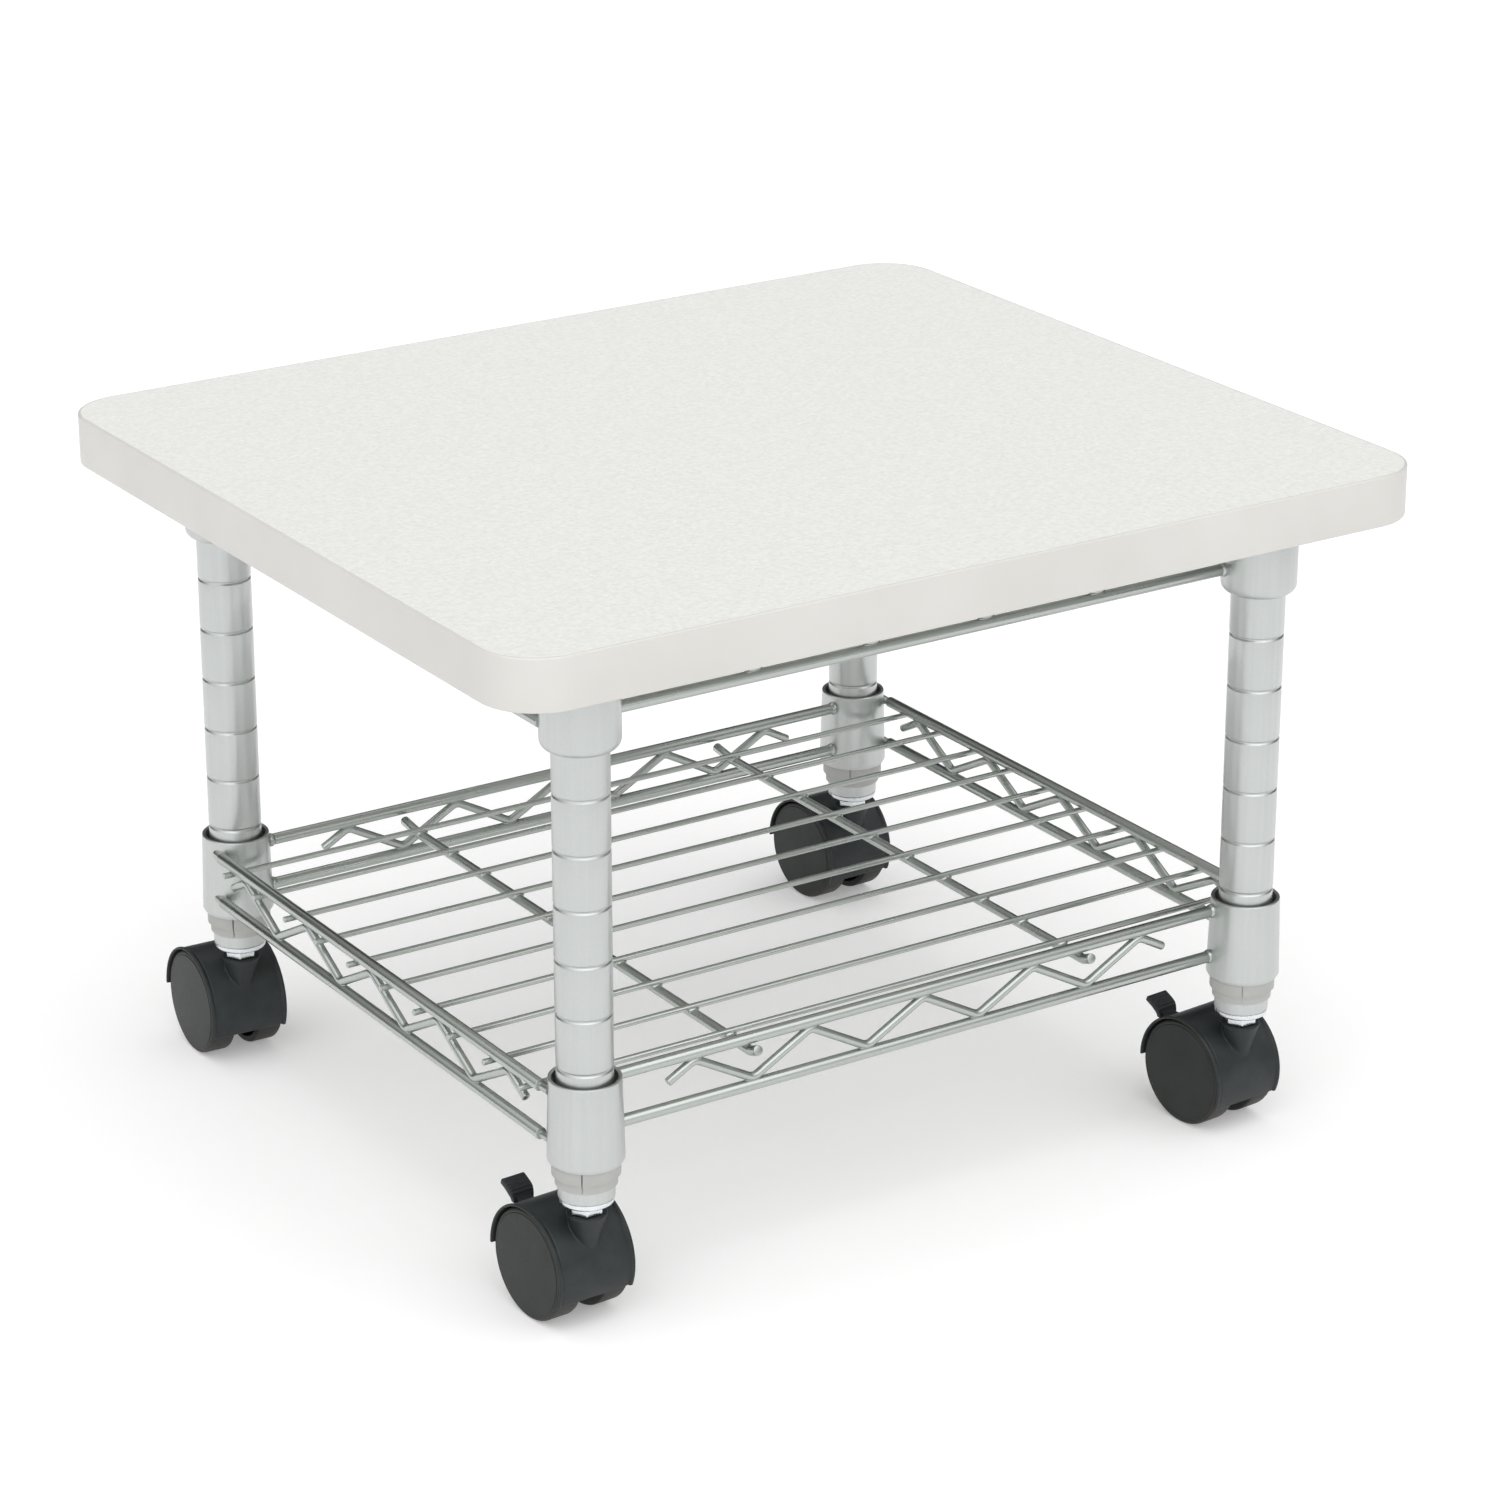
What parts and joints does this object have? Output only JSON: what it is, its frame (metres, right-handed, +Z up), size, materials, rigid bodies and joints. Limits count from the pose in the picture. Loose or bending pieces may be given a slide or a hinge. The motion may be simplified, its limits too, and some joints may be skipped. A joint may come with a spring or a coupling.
{
  "type": "mobile printer stand",
  "caption": "Low mobile printer stand: rectangular laminated top on grooved round posts, an adjustable wire storage shelf below, and twin-wheel swivel casters, the front ones with brakes.",
  "frame": {"origin": "on the floor, under the middle of the top", "axes": "+X to the right along the front edge, +Y to the back, +Z up"},
  "size_m": [0.4826, 0.4261, 0.335],
  "materials": {
    "laminate": "off-white pebbled laminate",
    "edging": "smooth warm grey-white edge band",
    "board": "raw fibreboard",
    "silver_paint": "metallic silver-grey powder coat",
    "sleeve_plastic": "light grey moulded plastic",
    "zinc": "bright zinc plate",
    "black_nylon": "fine-textured black nylon",
    "steel": "plain steel"
  },
  "bodies": {
    "stand": {"top_board": "board", "top_laminate": "laminate", "edge_band": "edging", "top_screw_front_left": "zinc", "top_screw_front_right": "zinc", "top_screw_rear_left": "zinc", "top_screw_rear_right": "zinc", "head_frame_left": "silver_paint", "head_frame_right": "silver_paint", "head_frame_front": "silver_paint", "head_frame_rear": "silver_paint", "post_front_left": "silver_paint", "post_insert_front_left": "zinc", "caster_stem_front_left": "zinc", "sleeve_front_left_outer": "sleeve_plastic", "sleeve_front_left_inner": "sleeve_plastic", "post_front_right": "silver_paint", "post_insert_front_right": "zinc", "caster_stem_front_right": "zinc", "sleeve_front_right_outer": "sleeve_plastic", "sleeve_front_right_inner": "sleeve_plastic", "post_rear_left": "silver_paint", "post_insert_rear_left": "zinc", "caster_stem_rear_left": "zinc", "sleeve_rear_left_outer": "sleeve_plastic", "sleeve_rear_left_inner": "sleeve_plastic", "post_rear_right": "silver_paint", "post_insert_rear_right": "zinc", "caster_stem_rear_right": "zinc", "sleeve_rear_right_outer": "sleeve_plastic", "sleeve_rear_right_inner": "sleeve_plastic"},
    "shelf": {"shelf_collar_front_left": "silver_paint", "shelf_collar_front_right": "silver_paint", "shelf_collar_rear_left": "silver_paint", "shelf_collar_rear_right": "silver_paint", "shelf_front_side": "silver_paint", "shelf_rear_side": "silver_paint", "shelf_left_side": "silver_paint", "shelf_right_side": "silver_paint", "shelf_deck": "silver_paint"},
    "caster_front_left": {"caster_hood_front_left": "black_nylon", "caster_axle_front_left": "steel"},
    "wheel_front_left_left": {"caster_wheel_front_left_left": "black_nylon"},
    "wheel_front_left_right": {"caster_wheel_front_left_right": "black_nylon"},
    "brake_front_left": {"brake_lever_front_left": "black_nylon"},
    "caster_front_right": {"caster_hood_front_right": "black_nylon", "caster_axle_front_right": "steel"},
    "wheel_front_right_left": {"caster_wheel_front_right_left": "black_nylon"},
    "wheel_front_right_right": {"caster_wheel_front_right_right": "black_nylon"},
    "brake_front_right": {"brake_lever_front_right": "black_nylon"},
    "caster_rear_left": {"caster_hood_rear_left": "black_nylon", "caster_axle_rear_left": "steel"},
    "wheel_rear_left_left": {"caster_wheel_rear_left_left": "black_nylon"},
    "wheel_rear_left_right": {"caster_wheel_rear_left_right": "black_nylon"},
    "caster_rear_right": {"caster_hood_rear_right": "black_nylon", "caster_axle_rear_right": "steel"},
    "wheel_rear_right_left": {"caster_wheel_rear_right_left": "black_nylon"},
    "wheel_rear_right_right": {"caster_wheel_rear_right_right": "black_nylon"}
  },
  "joints": [
    {"name": "shelf_lift", "type": "slide", "parent": "stand", "child": "shelf", "axis": [0, 0, 1], "range_m": [0, 0.15]},
    {"name": "swivel_front_left", "type": "hinge", "parent": "stand", "child": "caster_front_left", "pos_m": [-0.1818, -0.1648, 0.055], "axis": [0, 0, 1], "continuous": true},
    {"name": "spin_front_left_left", "type": "hinge", "parent": "caster_front_left", "child": "wheel_front_left_left", "pos_m": [-0.18291, -0.14503, 0.0261], "axis": [0.9984, 0.0558, 0], "continuous": true},
    {"name": "spin_front_left_right", "type": "hinge", "parent": "caster_front_left", "child": "wheel_front_left_right", "pos_m": [-0.18291, -0.14503, 0.0261], "axis": [0.9984, 0.0558, 0], "continuous": true},
    {"name": "brake_press_front_left", "type": "hinge", "parent": "caster_front_left", "child": "brake_front_left", "pos_m": [-0.18385, -0.1282, 0.04024], "axis": [-0.9984, -0.0558, 0], "range_deg": [0, 18]},
    {"name": "swivel_front_right", "type": "hinge", "parent": "stand", "child": "caster_front_right", "pos_m": [0.1818, -0.1648, 0.055], "axis": [0, 0, 1], "continuous": true},
    {"name": "spin_front_right_left", "type": "hinge", "parent": "caster_front_right", "child": "wheel_front_right_left", "pos_m": [0.18028, -0.14506, 0.0261], "axis": [0.9971, 0.0767, 0], "continuous": true},
    {"name": "spin_front_right_right", "type": "hinge", "parent": "caster_front_right", "child": "wheel_front_right_right", "pos_m": [0.18028, -0.14506, 0.0261], "axis": [0.9971, 0.0767, 0], "continuous": true},
    {"name": "brake_press_front_right", "type": "hinge", "parent": "caster_front_right", "child": "brake_front_right", "pos_m": [0.17899, -0.12826, 0.04024], "axis": [-0.9971, -0.0767, 0], "range_deg": [0, 18]},
    {"name": "swivel_rear_left", "type": "hinge", "parent": "stand", "child": "caster_rear_left", "pos_m": [-0.1818, 0.1648, 0.055], "axis": [0, 0, 1], "continuous": true},
    {"name": "spin_rear_left_left", "type": "hinge", "parent": "caster_rear_left", "child": "wheel_rear_left_left", "pos_m": [-0.181, 0.18458, 0.0261], "axis": [0.9992, -0.0401, 0], "continuous": true},
    {"name": "spin_rear_left_right", "type": "hinge", "parent": "caster_rear_left", "child": "wheel_rear_left_right", "pos_m": [-0.181, 0.18458, 0.0261], "axis": [0.9992, -0.0401, 0], "continuous": true},
    {"name": "swivel_rear_right", "type": "hinge", "parent": "stand", "child": "caster_rear_right", "pos_m": [0.1818, 0.1648, 0.055], "axis": [0, 0, 1], "continuous": true},
    {"name": "spin_rear_right_left", "type": "hinge", "parent": "caster_rear_right", "child": "wheel_rear_right_left", "pos_m": [0.18104, 0.18458, 0.0261], "axis": [0.9993, 0.0384, 0], "continuous": true},
    {"name": "spin_rear_right_right", "type": "hinge", "parent": "caster_rear_right", "child": "wheel_rear_right_right", "pos_m": [0.18104, 0.18458, 0.0261], "axis": [0.9993, 0.0384, 0], "continuous": true}
  ]
}
